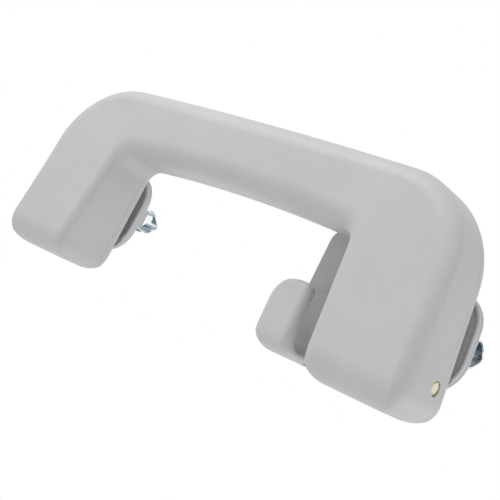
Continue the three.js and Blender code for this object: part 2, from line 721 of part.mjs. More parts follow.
function damperLid() {
  const [, x1] = damperSpan();
  return ring([x1 - DAMPER_LID_T, x1], ROTOR_R + GAP, DAMPER_LID_R);
}

/** Groove in the left arm that takes the key of the damper housing. */
function damperKeyway() {
  const [x0, x1] = damperSpan();
  const half = DAMPER_KEY / 2 + GAP;
  const grooveX = [DAMPER_KEY_INSET[1] - x1 - GAP, GAP - x0 - DAMPER_KEY_INSET[0]];
  return block(grooveX, [HINGE_Y - SLOT_REACH - half, HINGE_Y], [-half, half]);
}

// ---- Assembly -------------------------------------------------------------------------------------------

const handle = new THREE.Group();
const hollow = hollowGrip();

handle.add(node('grip_front_shell', gripFrontShell(hollow), shellPlastic));
handle.add(node('grip_back_cover', gripBackCover(hollow), shellPlastic));
SCREWS.forEach((place, k) => handle.add(node(`cover_screw_${k + 1}`, coverScrew(place), plainSteel)));

const LEFT_BACK_Y = 0;
const RIGHT_BACK_Y = -HOOK_PLATE_T - GAP;
for (const [word, side, backFaceY] of [['left', -1, LEFT_BACK_Y], ['right', 1, RIGHT_BACK_Y]]) {
  handle.add(node(`${word}_base_bracket`, baseBracket(backFaceY), basePlastic, side));
  handle.add(node(`${word}_spring_clip`, springClip(), springSteel, side));
  handle.add(node(`${word}_lock_plug`, lockPlug(), basePlastic, side));
  handle.add(node(`${word}_hinge_pin`, hingePin(), pinSteel, side));
}

handle.add(node('coat_hook', coatHook(), basePlastic));
handle.add(node('right_torsion_spring', torsionSpring(), plainSteel));
handle.add(node('right_spring_sleeve', springSleeve(), damperPlastic));
handle.add(node('left_damper_rotor', damperRotor(), damperPlastic, -1));
handle.add(node('left_damper_housing', damperHousing(), damperPlastic, -1));
handle.add(node('left_damper_lid', damperLid(), damperPlastic, -1));

export default handle;
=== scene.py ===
"""Fold-down roof grab handle with a coat hook: the visible model and its studio."""

import math

import bpy
import numpy as np
from mathutils import Matrix, Vector


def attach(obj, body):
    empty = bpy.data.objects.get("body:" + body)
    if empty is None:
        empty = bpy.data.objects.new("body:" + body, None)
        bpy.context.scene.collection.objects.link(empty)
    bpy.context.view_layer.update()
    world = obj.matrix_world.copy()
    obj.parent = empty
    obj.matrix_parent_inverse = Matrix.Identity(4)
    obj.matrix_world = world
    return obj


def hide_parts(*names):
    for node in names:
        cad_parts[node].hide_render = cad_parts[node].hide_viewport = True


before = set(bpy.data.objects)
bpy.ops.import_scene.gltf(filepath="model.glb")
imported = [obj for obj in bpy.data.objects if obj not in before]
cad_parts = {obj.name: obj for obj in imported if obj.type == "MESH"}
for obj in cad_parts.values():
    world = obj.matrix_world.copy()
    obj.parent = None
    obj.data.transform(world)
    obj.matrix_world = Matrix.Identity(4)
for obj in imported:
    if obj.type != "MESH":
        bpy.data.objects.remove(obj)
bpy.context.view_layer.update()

# ---- Dimensions, in millimetres unless a name says otherwise -------------------------------------

MM = 0.001
HINGE_Y = -17.3
GAP = 0.3

FOOT_Z = -14.5
FOOT_X = {"outer": 111.82, "inner": 71}
HEAD_X = {"outer": 105.5, "inner": 64.5}
BAR_Z = {"outer": 67.5, "inner": 38.2}
ARCH = {"outer": 1.59, "inner": 2.4}
CORNER_R = {"outer": 35, "inner": 8}
BAR_MID_Z = (BAR_Z["outer"] + BAR_Z["inner"]) / 2
FRONT_FOOT_Y, FRONT_BAR_Y = -39.95, -34.6
BACK_FOOT_Y, BACK_BAR_Y = -6.6, -10.6

# Edge roundings of the grip's section at the foot, the shoulder and the bar, each as (across, through).
FRONT_INNER_R = ((4, 4), (4.5, 4.5), (9, 9))
FRONT_OUTER_R = ((4.5, 10), (7.5, 4.5), (8, 8))
BACK_EDGE_R = 3.2
LEAST_R = 0.8
FOOT_END_R = {"inner": 6, "outer": 10.4, "front": 12, "back": 10.4}

WALL = 2.6
COVER_DEPTH = 5
PARTING_GAP = 0.08
SCREWS = ((-87, 44), (-32, 53), (32, 53), (87, 44))
SCREW_BOSS_R, SCREW_SHANK_R, SCREW_HEAD_R, SCREW_HEAD_T, SCREW_LENGTH = 3.6, 1.4, 3, 1.4, 12

SLOT_X = (76, 102.5)
SLOT_REACH, SLOT_WALL = 7.5, 2.2
LUG_R, LUG_T, LUG_FOOT_Z = 6.6, 4, -2.2
PIN_R, PIN_CHAMFER, PIN_CLEARANCE = 2.7, 0.5, 0.1
PIN_X = (73, 110.4)

BASE_X = 89.75
FLANGE_HALF_WIDTH = 19.9
FLANGE_Z = (-2.4, 36.4)
FLANGE_CORNER_R = {"lower": 15, "upper": 12.5}
FLANGE_FRONT_Y = -3.8
FLANGE_EDGE_R = 0.7
RIM_WIDTH, DISH_DEPTH = 1.4, 0.75
HOOK_PLATE_T = 1.5
POST_X, POST_Z, POST_END_Y = 94.2, 19, 20.5
POST_SIZE = (11, 10.4)
POST_CORE_HEIGHT = 7.4
POST_HOLE_ROOM = 1.6
PLUG_BLADE = (4.4, 3)

CLIP_WIDTH, CLIP_T, CLIP_TIP_Y = 8, 0.9, 31.4
CLIP_FLANK = ((1.2, 0), (7, 0.1), (13, 0.5), (19, 1.3), (25, 0.7), (29.3, -2))

HOOK_X = (32.4, 49.6)
HOOK_Z = (-12, 17)
HOOK_FRONT_Y = -21.6
PADDLE_T, HOOK_BACK_T, HOOK_FLOOR_T = 5.4, 3, 4
HOOK_CORNER_R = 6
HOOK_FOOT_R = (2, 7)
PADDLE_TOP_R = 10
PLATE_TOP_Z = 43.5
PLATE_TOP_X = (34, 57.6)
PLATE_LAP = 4

SPRING_TURNS, SPRING_COIL_R, SPRING_WIRE_R, SPRING_LEG = 8, 4.5, 0.6, 7
SLEEVE_RIM_T = 1

# Lengths that carry a cut clear of the body it is made in.
OVERRUN = 1
FAR = 150

CORNER_STEPS = 10
END_STEPS = 20
ARM_STEPS = 10
ARC_STEPS = 36
BAR_STEPS = 12
ROUND_STEPS = 72
HOOK_TURN_STEPS = 48
HOOK_LEG_STEPS = 6
PADDLE_END_STEPS = 8
FLANGE_CORNER_STEPS = 16
CLIP_STEPS = 120
COIL_STEPS = 36
WIRE_STEPS = 12


# ---- Mesh helpers --------------------------------------------------------------------------------

def mesh_piece(name, vertices, faces):
    """A new object from vertices in millimetres."""
    mesh = bpy.data.meshes.new(name)
    points = [tuple(float(c) * MM for c in vertex) for vertex in vertices]
    mesh.from_pydata(points, [], [list(map(int, face)) for face in faces])
    mesh.validate()
    piece = bpy.data.objects.new(name, mesh)
    bpy.context.scene.collection.objects.link(piece)
    return piece


def loft(name, rings, mirrored=False):
    """A closed skin over rings of equally many points, with a flat cap on each end."""
    rings = np.asarray(rings, float)
    if mirrored:
        rings = rings * np.array([-1, 1, 1])
    count, size = rings.shape[:2]
    faces = []
    for r in range(count - 1):
        for k in range(size):
            n = (k + 1) % size
            faces.append([r * size + k, r * size + n, (r + 1) * size + n, (r + 1) * size + k])
    faces.append(list(range(size))[::-1])
    faces.append([(count - 1) * size + k for k in range(size)])
    piece = mesh_piece(name, rings.reshape(-1, 3), faces)
    face_out(piece)
    return piece


def signed_volume(mesh):
    mesh.calc_loop_triangles()
    total = 0
    for t in mesh.loop_triangles:
        a, b, c = (mesh.vertices[i].co for i in t.vertices)
        total += a.dot(b.cross(c))
    return total


def face_out(piece):
    if signed_volume(piece.data) < 0:
        piece.data.flip_normals()


def settle(piece):
    """Applies the piece's modifiers to its mesh."""
    graph = bpy.context.evaluated_depsgraph_get()
    done = bpy.data.meshes.new_from_object(piece.evaluated_get(graph))
    piece.modifiers.clear()
    piece.data = done
    return piece


def combine(operation, piece, *others):
    """Joins, cuts or intersects a piece with others, which are used up."""
    for other in others:
        step = piece.modifiers.new("solid", "BOOLEAN")
        step.operation = operation
        step.solver = "MANIFOLD"
        step.object = other
        settle(piece)
        bpy.data.objects.remove(other)
    return piece


def join(piece, *others):
    return combine("UNION", piece, *others)


def cut(piece, *others):
    return combine("DIFFERENCE", piece, *others)


def common(piece, *others):
    return combine("INTERSECT", piece, *others)


def twin(piece, name):
    copy = bpy.data.objects.new(name, piece.data.copy())
    bpy.context.scene.collection.objects.link(copy)
    return copy


def soften(piece, width, steps=3, angle=40):
    """Rounds the sharp edges of a piece."""
    bevel = piece.modifiers.new("soften", "BEVEL")
    bevel.width = width * MM
    bevel.segments = steps
    bevel.limit_method = "ANGLE"
    bevel.angle_limit = math.radians(angle)
    bevel.use_clamp_overlap = True
    return settle(piece)


def smooth(piece, angle=32):
    """Smooth shading that stays crisp over sharp edges and flat on flat faces."""
    mesh = piece.data
    mesh.polygons.foreach_set("use_smooth", [True] * len(mesh.polygons))
    mesh.set_sharp_from_angle(angle=math.radians(angle))
    weighted = piece.modifiers.new("flat faces", "WEIGHTED_NORMAL")
    weighted.keep_sharp = True
    weighted.weight = 80
    return settle(piece)


def block(x_span, y_span, z_span):
    corners = [(x, y, z) for x in x_span for y in y_span for z in z_span]
    faces = [(0, 1, 3, 2), (4, 6, 7, 5), (0, 4, 5, 1), (2, 3, 7, 6), (0, 2, 6, 4), (1, 5, 7, 3)]
    piece = mesh_piece("block", corners, faces)
    face_out(piece)
    return piece


def centred(middle, size):
    return (middle - size / 2, middle + size / 2)


def turned(name, profile, axis_y=HINGE_Y, axis_z=0.0, steps=ROUND_STEPS):
    """A solid of revolution about a line along x, from (x, radius) points that start and end off the axis."""
    angles = np.linspace(0, 2 * math.pi, steps, endpoint=False)
    rings = [
        [(x, axis_y + r * math.cos(a), axis_z + r * math.sin(a)) for a in angles]
        for x, r in profile
    ]
    return loft(name, rings)


def rod_along_y(x, z, radius, y_span, steps=32):
    angles = np.linspace(0, 2 * math.pi, steps, endpoint=False)
    rings = [[(x + radius * math.cos(a), y, z + radius * math.sin(a)) for a in angles] for y in y_span]
    return loft("rod", rings)


def rounded_outline(corners, steps=CORNER_STEPS):
    """Points round a closed outline whose corners are (a, b, radius)."""
    points = []
    for k, (a, b, radius) in enumerate(corners):
        here = np.array([a, b], float)
        before = np.array(corners[k - 1][:2], float) - here
        after = np.array(corners[(k + 1) % len(corners)][:2], float) - here
        before /= np.linalg.norm(before)
        after /= np.linalg.norm(after)
        if radius <= 0:
            points.append(here)
            continue
        half = math.acos(np.clip(before @ after, -1, 1)) / 2
        bisector = before + after
        centre = here + bisector / np.linalg.norm(bisector) * radius / math.sin(half)
        start = here + before * radius / math.tan(half) - centre
        end = here + after * radius / math.tan(half) - centre
        first = math.atan2(start[1], start[0])
        turn = (math.atan2(end[1], end[0]) - first + math.pi) % (2 * math.pi) - math.pi
        for step in range(steps + 1):
            angle = first + turn * step / steps
            points.append(centre + radius * np.array([math.cos(angle), math.sin(angle)]))
    return np.array(points)


def plate(name, outlines, heights):
    """A slab that faces the front, from (x, z) outlines at their y heights."""
    rings = [[(x, y, z) for x, z in outline] for outline, y in zip(outlines, heights)]
    return loft(name, rings)


def side_slab(name, outline, x_span):
    """A (y, z) outline given a thickness along x."""
    return loft(name, [[(x, y, z) for y, z in outline] for x in x_span])


def mirror(piece):
    """Moves a piece to the other side of x = 0."""
    piece.data.transform(Matrix.Scale(-1, 4, Vector((1, 0, 0))))
    piece.data.flip_normals()
    return piece


# ---- Grip ----------------------------------------------------------------------------------------

def lerp(a, b, t):
    return a + (b - a) * t


def front_y(z):
    return lerp(FRONT_FOOT_Y, FRONT_BAR_Y, (z - FOOT_Z) / (BAR_MID_Z - FOOT_Z))


def back_y(z):
    return lerp(BACK_FOOT_Y, BACK_BAR_Y, (z - FOOT_Z) / (BAR_MID_Z - FOOT_Z))


def edge_curves(edge, inset):
    """One edge of the grip in front view as three functions: the arm, the corner and half of the bar."""
    foot = np.array([FOOT_X[edge], FOOT_Z + inset], float)
    head = np.array([HEAD_X[edge], BAR_Z[edge]], float)
    radius = CORNER_R[edge]
    up = (head - foot) / np.linalg.norm(head - foot)
    inward = np.array([-HEAD_X[edge], 2 * ARCH[edge]], float)
    inward /= np.linalg.norm(inward)
    reach = radius * math.tan(math.acos(up @ inward) / 2)
    start = head - up * reach
    end = head + inward * reach
    centre = start + radius * np.array([-up[1], up[0]])
    first = math.atan2(*(start - centre)[::-1])
    last = math.atan2(*(end - centre)[::-1])
    control = end + inward * (end[0] / 2 / -inward[0])
    crown = np.array([0, control[1]])

    def arm(t):
        return lerp(foot, start, t)

    def corner(t):
        angle = lerp(first, last, t)
        return centre + radius * np.array([math.cos(angle), math.sin(angle)])

    def bar(t):
        return (1 - t) ** 2 * end + 2 * t * (1 - t) * control + t ** 2 * crown

    return arm, corner, bar, np.linalg.norm(start - foot)


def section_points(width, depth, radii):
    """A rounded rectangle, across and through, from its inner front corner on."""
    points = []
    for k, (side, back) in enumerate(((0, 0), (1, 0), (1, 1), (0, 1))):
        ru, rv = radii[k]
        centre_u = width - ru if side else ru
        centre_v = depth - rv if back else rv
        for step in range(CORNER_STEPS + 1):
            angle = math.pi + math.pi / 2 * (k + step / CORNER_STEPS)
            points.append((centre_u + ru * math.cos(angle), centre_v + rv * math.sin(angle)))
    return points


def rounding_at(stations, place, margins):
    first = min(int(place), 1)
    pairs = zip(stations[first], stations[first + 1], margins)
    return [max(lerp(a, b, place - first) - margin, LEAST_R) for a, b, margin in pairs]


def end_margins(rise, inset):
    """How far each side of the section has drawn in at a height above the end of the arm."""
    margins = {}
    for side, full in FOOT_END_R.items():
        radius = full - inset
        drop = max(radius - rise, 0)
        margins[side] = inset + radius - math.sqrt(radius ** 2 - drop ** 2)
    return margins


def grip_ring(outer, inner, place, margins):
    across = outer - inner
    width = np.linalg.norm(across)
    across = across / width
    front, back = margins["front"], margins["back"]
    radii = [
        rounding_at(FRONT_INNER_R, place, (margins["inner"], front)),
        rounding_at(FRONT_OUTER_R, place, (margins["outer"], front)),
    ]
    for side in ("outer", "inner"):
        radii.append([max(BACK_EDGE_R - margin, LEAST_R) for margin in (margins[side], back)])
    middle_z = (outer[1] + inner[1]) / 2
    depth = back_y(middle_z) - front_y(middle_z)
    ring = []
    for u, v in section_points(width - margins["inner"] - margins["outer"], depth - front - back, radii):
        x, z = inner + across * (u + margins["inner"])
        ring.append((x, lerp(front_y(z), back_y(z), (v + front) / depth), z))
    return ring


def smoothstep(t):
    return t * t * (3 - 2 * t)


def grip_form(inset):
    """The grip's outer form, or with an inset the same form that much smaller all round."""
    outer_arm, outer_corner, outer_bar, outer_length = edge_curves("outer", inset)
    inner_arm, inner_corner, inner_bar, inner_length = edge_curves("inner", inset)
    end_r = max(FOOT_END_R.values()) - inset
    plain = end_margins(math.inf, inset)
    rings = []
    for k in range(END_STEPS + 1):
        angle = math.pi / 2 * (1 - k / END_STEPS)
        rise = end_r * (1 - math.sin(angle))
        t = rise / outer_length
        rings.append(grip_ring(outer_arm(t), inner_arm(rise / inner_length), t, end_margins(rise, inset)))
    for k in range(1, ARM_STEPS + 1):
        t = lerp(end_r / outer_length, 1, k / ARM_STEPS)
        inner_t = lerp(end_r / inner_length, 1, k / ARM_STEPS)
        rings.append(grip_ring(outer_arm(t), inner_arm(inner_t), t, plain))
    for k in range(1, ARC_STEPS + 1):
        t = k / ARC_STEPS
        rings.append(grip_ring(outer_corner(t), inner_corner(t), 1 + smoothstep(t), plain))
    for k in range(1, BAR_STEPS + 1):
        t = k / BAR_STEPS
        rings.append(grip_ring(outer_bar(t), inner_bar(t), 2, plain))
    rings = np.array(rings)
    left = rings[:-1][::-1] * np.array([-1, 1, 1])
    return loft("grip_form", np.concatenate([rings, left]))


def behind_parting(depth):
    """Everything behind a plane that lies a set depth in front of the grip's back face."""
    outline = [(back_y(-FAR) - depth, -FAR), (FAR, -FAR), (FAR, FAR), (back_y(FAR) - depth, FAR)]
    return side_slab("behind", outline, (-FAR, FAR))


def knuckle_block(side, reach, x_span):
    span = x_span if side > 0 else (-x_span[1], -x_span[0])
    return block(span, (HINGE_Y - reach, OVERRUN), (FOOT_Z - OVERRUN, reach))


def pin_bore(x_span):
    return turned("bore", [(x, PIN_R + PIN_CLEARANCE) for x in x_span])


def make_grip():
    arm_x = (HEAD_X["inner"], FOOT_X["outer"])
    cavity = cut(grip_form(WALL), *(knuckle_block(s, SLOT_REACH + SLOT_WALL, arm_x) for s in (1, -1)))
    hollow = cut(grip_form(0), cavity, *(knuckle_block(s, SLOT_REACH, SLOT_X) for s in (1, -1)))
    shell = twin(hollow, "grip_shell")
    cut(shell, behind_parting(COVER_DEPTH + PARTING_GAP / 2))
    for x, z in SCREWS:
        seat = back_y(z) - COVER_DEPTH - PARTING_GAP / 2
        boss = common(rod_along_y(x, z, SCREW_BOSS_R, (front_y(z), seat)), grip_form(WALL / 2))
        join(shell, boss)
        cut(shell, rod_along_y(x, z, SCREW_SHANK_R + GAP, (seat - SCREW_LENGTH, seat + COVER_DEPTH)))
    bore_end = FOOT_X["outer"] + OVERRUN
    cut(shell, pin_bore((PIN_X[0] - GAP, bore_end)), pin_bore((-bore_end, GAP - PIN_X[0])))
    cover = common(hollow, behind_parting(COVER_DEPTH - PARTING_GAP / 2))
    cover.name = "grip_cover"
    for x, z in SCREWS:
        cut(cover, rod_along_y(x, z, SCREW_SHANK_R + GAP, (back_y(z) - SCREW_LENGTH, 0)))
        cut(cover, rod_along_y(x, z, SCREW_HEAD_R + GAP, (back_y(z) - SCREW_HEAD_T - GAP, 0)))
    return smooth(shell), smooth(cover)


def make_pin(name, side):
    x0, x1 = PIN_X
    edge = PIN_CHAMFER
    profile = [
        (x0, PIN_R - edge),
        (x0 + edge, PIN_R),
        (x1 - edge, PIN_R),
        (x1 - edge * 0.45, PIN_R - edge * 0.2),
        (x1, PIN_R - edge),
        (x1 - 0.12, PIN_R - edge - 0.25),
    ]
    pin = turned(name, profile)
    if side < 0:
        mirror(pin)
    return smooth(pin, 25)


# ---- Bases ---------------------------------------------------------------------------------------

def flange_outline(inset):
    bottom, top = FLANGE_Z
    lean = (HEAD_X["outer"] - FOOT_X["outer"]) / (BAR_Z["outer"] - FOOT_Z)
    middle = (bottom + top) / 2

    def corner(side, z, radius):
        x = BASE_X + side * (FLANGE_HALF_WIDTH - inset) + lean * (z - middle)
        return x, z + math.copysign(inset, middle - z), max(radius - inset, LEAST_R)

    lower, upper = FLANGE_CORNER_R["lower"], FLANGE_CORNER_R["upper"]
    return rounded_outline(
        [corner(1, bottom, lower), corner(1, top, upper), corner(-1, top, upper), corner(-1, bottom, lower)],
        steps=FLANGE_CORNER_STEPS,
    )


def quarter_round(radius, steps=5):
    """Pairs of (inset, drop) round a quarter circle, from the side to the face."""
    angles = np.linspace(0, math.pi / 2, steps)
    return [(radius * (1 - math.cos(a)), radius * (1 - math.sin(a))) for a in angles]


def flange(back_y_mm):
    """A plate with soft edges and a shallow dish inside its front rim."""
    steps = [(inset, back_y_mm - drop) for inset, drop in quarter_round(FLANGE_EDGE_R / 2)[::-1]]
    steps += [(inset, FLANGE_FRONT_Y + drop) for inset, drop in quarter_round(FLANGE_EDGE_R)]
    floor = FLANGE_FRONT_Y + DISH_DEPTH
    steps += [
        (RIM_WIDTH - 0.5, FLANGE_FRONT_Y),
        (RIM_WIDTH - 0.15, FLANGE_FRONT_Y + 0.15),
        (RIM_WIDTH, FLANGE_FRONT_Y + 0.5),
        (RIM_WIDTH + 0.15, floor - 0.15),
        (RIM_WIDTH + 0.6, floor),
    ]
    return plate("flange", [flange_outline(inset) for inset, _ in steps], [y for _, y in steps])


def lug_outline():
    root_y = FLANGE_FRONT_Y + DISH_DEPTH + 2 * GAP
    angles = np.linspace(math.pi / 2, 2 * math.pi - math.pi / 3, 40)
    eye = [(HINGE_Y + LUG_R * math.cos(a), LUG_R * math.sin(a)) for a in angles]
    return eye + [(root_y, LUG_FOOT_Z), (root_y, LUG_R)]


def lug_spans():
    return (SLOT_X[0] + GAP, SLOT_X[0] + GAP + LUG_T), (SLOT_X[1] - GAP - LUG_T, SLOT_X[1] - GAP)


def foot_sweep():
    """Room for the rounded foot of the arm, which sweeps past the flange as the grip swings."""
    end_r = FOOT_END_R["back"]
    corner_y = BACK_FOOT_Y - end_r - HINGE_Y
    corner_z = FOOT_Z + end_r
    radius = math.hypot(corner_y, corner_z) + end_r + GAP
    return turned("sweep", [(0, radius), (FOOT_X["outer"] + OVERRUN, radius)], steps=2 * ROUND_STEPS)


def drafted_post(y_span):
    """A post with softened end, and a channel above and below its core for the clip's flanks."""
    y0, y1 = y_span
    rings = []
    for y, inset, radius in ((y0, 0, 0.6), (y1 - 0.8, 0.25, 0.6), (y1 - 0.2, 0.4, 0.7), (y1, 0.9, 0.9)):
        x_span = centred(POST_X, POST_SIZE[0] - 2 * inset)
        z_span = centred(POST_Z, POST_SIZE[1] - 2 * inset)
        corners = [(x_span[0], z_span[0], radius), (x_span[1], z_span[0], radius)]
        corners += [(x_span[1], z_span[1], radius), (x_span[0], z_span[1], radius)]
        rings.append([(x, y, z) for x, z in rounded_outline(corners, steps=5)])
    post = loft("post", rings)
    half = POST_SIZE[1] / 2
    for z_span in ((POST_CORE_HEIGHT / 2, half + OVERRUN), (-half - OVERRUN, -POST_CORE_HEIGHT / 2)):
        span = (POST_Z + z_span[0], POST_Z + z_span[1])
        cut(post, block(centred(POST_X, CLIP_WIDTH + 2 * GAP), (y0 + GAP, y1 + OVERRUN), span))
    return post


def make_bracket(name, side, back_y_mm):
    bracket = cut(flange(back_y_mm), foot_sweep())
    bracket.name = name
    lugs = [soften(side_slab("lug", lug_outline(), span), 0.35) for span in lug_spans()]
    join(bracket, drafted_post((back_y_mm - GAP, POST_END_Y)), *lugs)
    slot_x = centred(POST_X, PLUG_BLADE[0] + 2 * GAP)
    slot_z = centred(POST_Z, PLUG_BLADE[1] + 2 * GAP)
    bore_x = (SLOT_X[0] - OVERRUN, SLOT_X[1] + OVERRUN)
    cut(bracket, block(slot_x, (-FAR, FAR), slot_z), pin_bore(bore_x))
    if side < 0:
        mirror(bracket)
    return smooth(bracket)


def catmull_rom(points, steps):
    """A centripetal curve through points."""
    points = np.asarray(points, float)
    padded = np.vstack([2 * points[0] - points[1], points, 2 * points[-1] - points[-2]])
    spans = len(points) - 1
    result = []
    for place in np.linspace(0, spans, steps):
        k = min(int(place), spans - 1)
        p0, p1, p2, p3 = padded[k:k + 4]
        t0 = 0
        t1 = t0 + math.sqrt(np.linalg.norm(p1 - p0))
        t2 = t1 + math.sqrt(np.linalg.norm(p2 - p1))
        t3 = t2 + math.sqrt(np.linalg.norm(p3 - p2))
        t = lerp(t1, t2, place - k)
        a1 = lerp(p0, p1, (t - t0) / (t1 - t0))
        a2 = lerp(p1, p2, (t - t1) / (t2 - t1))
        a3 = lerp(p2, p3, (t - t2) / (t3 - t2))
        b1 = lerp(a1, a2, (t - t0) / (t2 - t0))
        b2 = lerp(a2, a3, (t - t1) / (t3 - t1))
        result.append(lerp(b1, b2, (t - t1) / (t2 - t1)))
    return np.array(result)


def make_clip(name, side):
    """A steel strip that wraps the post, bulges on both flanks and arches past its end."""
    half = POST_CORE_HEIGHT / 2 + GAP + CLIP_T / 2
    flank = [(y, half + off) for y, off in CLIP_FLANK]
    path = flank + [(CLIP_TIP_Y - CLIP_T / 2, 0)] + [(y, -z) for y, z in flank[::-1]]
    line = catmull_rom(path, CLIP_STEPS + 1)
    along = np.gradient(line, axis=0)
    along /= np.linalg.norm(along, axis=1)[:, None]
    off = np.stack([-along[:, 1], along[:, 0]], axis=1) * CLIP_T / 2
    outline = np.concatenate([line + off, (line - off)[::-1]]) + np.array([0, POST_Z])
    clip = side_slab(name, outline, centred(POST_X, CLIP_WIDTH))
    soften(clip, 0.2, steps=2, angle=50)
    if side < 0:
        mirror(clip)
    return smooth(clip, 40)


# ---- Coat hook -----------------------------------------------------------------------------------

def hook_edges():
    """Matching outer and inner lines of the J in side view (y, z), from the top of its back leg."""
    bottom, top = HOOK_Z
    throat_front, throat_back = HOOK_FRONT_Y + PADDLE_T, -HOOK_BACK_T
    throat_r = (throat_back - throat_front) / 2
    centre = (throat_back - throat_r, bottom + HOOK_FLOOR_T + throat_r)
    back_r, heel_r = HOOK_FOOT_R
    corners = [
        (0, centre[1], 0),
        (0, bottom, back_r),
        (HOOK_FRONT_Y, bottom, heel_r),
        (HOOK_FRONT_Y, centre[1], 0),
    ]
    turn = rounded_outline(corners, steps=HOOK_TURN_STEPS // 2)
    length = np.concatenate([[0], np.cumsum(np.linalg.norm(np.diff(turn, axis=0), axis=1))])
    places = np.linspace(0, 1, HOOK_TURN_STEPS + 1)
    outer_turn = np.stack([np.interp(places * length[-1], length, turn[:, k]) for k in (0, 1)], axis=1)
    angles = -math.pi * places
    inner_turn = np.array(centre) + throat_r * np.stack([np.cos(angles), np.sin(angles)], axis=1)
    leg = np.linspace(top, centre[1], HOOK_LEG_STEPS + 1)[:-1]
    back_outer = np.stack([np.zeros_like(leg), leg], axis=1)
    back_inner = np.stack([np.full_like(leg, throat_back), leg], axis=1)
    rise = leg[::-1]
    front_outer = np.stack([np.full_like(rise, HOOK_FRONT_Y), rise], axis=1)
    front_inner = np.stack([np.full_like(rise, throat_front), rise], axis=1)
    return (
        np.concatenate([back_outer, outer_turn, front_outer]),
        np.concatenate([back_inner, inner_turn, front_inner]),
    )


def hook_ring(outer, inner, shrink):
    across = inner - outer
    thickness = np.linalg.norm(across)
    across = across / thickness
    margin = min(shrink, thickness * 0.42)
    width = HOOK_X[1] - HOOK_X[0] - 2 * shrink
    depth = thickness - 2 * margin
    outer_r = (min(3.4, width * 0.45), depth * 0.58)
    inner_r = (min(1.8, width * 0.3), depth * 0.34)
    ring = []
    for u, v in section_points(width, depth, (outer_r, outer_r, inner_r, inner_r)):
        y, z = outer + across * (v + margin)
        ring.append((HOOK_X[0] + shrink + u, y, z))
    return ring


def corner_inset(radius, into):
    return radius - math.sqrt(radius ** 2 - min(max(into, 0), radius) ** 2)


def round_front_view(piece):
    """Narrows the hook towards its lower and upper ends, so that its corners are round from the front."""
    x0, x1 = HOOK_X
    bottom, top = HOOK_Z
    for vertex in piece.data.vertices:
        x, _, z = vertex.co / MM
        low = x0 + corner_inset(HOOK_CORNER_R, bottom + HOOK_CORNER_R - z)
        low += corner_inset(PADDLE_TOP_R, z - top + PADDLE_TOP_R)
        right_r = HOOK_CORNER_R / 2
        high = x1 - corner_inset(right_r, bottom + right_r - z) - corner_inset(right_r, z - top + right_r)
        vertex.co.x = lerp(low, high, (x - x0) / (x1 - x0)) * MM
    return piece


def make_hook_body():
    outer, inner = hook_edges()
    rings = [hook_ring(o, i, 0) for o, i in zip(outer, inner)]
    rings.pop()
    end_r = PADDLE_T / 2
    for k in range(1, PADDLE_END_STEPS + 1):
        angle = math.pi / 2 * k / PADDLE_END_STEPS
        lift = np.array([0, end_r * math.sin(angle) - end_r])
        rings.append(hook_ring(outer[-1] + lift, inner[-1] + lift, end_r * (1 - math.cos(angle))))
    return round_front_view(loft("hook", rings))


def plate_outline(inset):
    bottom = HOOK_Z[0]
    edge = BASE_X - FLANGE_HALF_WIDTH
    low, high = FLANGE_Z
    r = HOOK_CORNER_R
    return rounded_outline([
        (HOOK_X[0] + inset, bottom + inset, r - inset),
        (edge - PLATE_LAP / 2 - inset, bottom + inset, 2 * PLATE_LAP - inset),
        (edge + PLATE_LAP - inset, low + PLATE_LAP + inset, PLATE_LAP / 2),
        (BASE_X, low + PLATE_LAP / 2 + inset, LEAST_R),
        (BASE_X, high - inset, LEAST_R),
        (edge + PLATE_LAP / 2, high + PLATE_LAP / 2 - inset, r),
        (PLATE_TOP_X[1] - inset, PLATE_TOP_Z - inset, r - inset),
        (PLATE_TOP_X[0] + inset, PLATE_TOP_Z - inset, r - inset),
    ])


def make_coat_hook():
    edge = HOOK_PLATE_T * 0.4
    steps = [(inset, -drop) for inset, drop in quarter_round(edge / 2)[::-1]]
    steps += [(inset, -HOOK_PLATE_T + drop) for inset, drop in quarter_round(edge)]
    heights = [y for _, y in steps]
    hook = plate("coat_hook_piece", [plate_outline(inset) for inset, _ in steps], heights)
    under = plate("under", [flange_outline(inset) for inset, _ in steps], heights)
    join(hook, under, make_hook_body())
    hole_x = centred(POST_X, POST_SIZE[0] + POST_HOLE_ROOM)
    hole_z = centred(POST_Z, POST_SIZE[1] + POST_HOLE_ROOM)
    cut(hook, block(hole_x, (-FAR, FAR), hole_z))
    return smooth(hook, 38)


# ---- Spring --------------------------------------------------------------------------------------

def make_spring(name):
    """A leg towards the base, the coil round the pin, and a leg into the arm."""
    x0 = lug_spans()[0][1] + GAP
    x1 = lug_spans()[1][0] - GAP
    inset = SLEEVE_RIM_T + GAP + SPRING_WIRE_R
    start = x0 + inset
    length = x1 - x0 - 2 * inset
    turns = np.linspace(0, 1, SPRING_TURNS * COIL_STEPS + 1)
    angles = -math.pi / 2 - 2 * math.pi * SPRING_TURNS * turns
    coil_y = HINGE_Y + SPRING_COIL_R * np.cos(angles)
    coil_z = SPRING_COIL_R * np.sin(angles)
    coil = np.stack([start + length * turns, coil_y, coil_z], axis=1)
    lower = -SPRING_COIL_R
    first = [(start, HINGE_Y + SPRING_LEG, lower), (start, HINGE_Y + SPRING_LEG / 2, lower)]
    last = [(start + length, HINGE_Y - SPRING_LEG / 2, lower), (start + length, HINGE_Y - SPRING_LEG, lower)]
    line = np.concatenate([first, coil, last])
    along = np.gradient(line, axis=0)
    along /= np.linalg.norm(along, axis=1)[:, None]
    reference = np.array([1.0, 0, 0])
    section = np.linspace(0, 2 * math.pi, WIRE_STEPS, endpoint=False)
    rings = []
    for centre, direction in zip(line, along):
        side = np.cross(direction, reference)
        side /= np.linalg.norm(side)
        over = np.cross(side, direction)
        rings.append([centre + SPRING_WIRE_R * (math.cos(a) * side + math.sin(a) * over) for a in section])
    return smooth(loft(name, rings), 50)


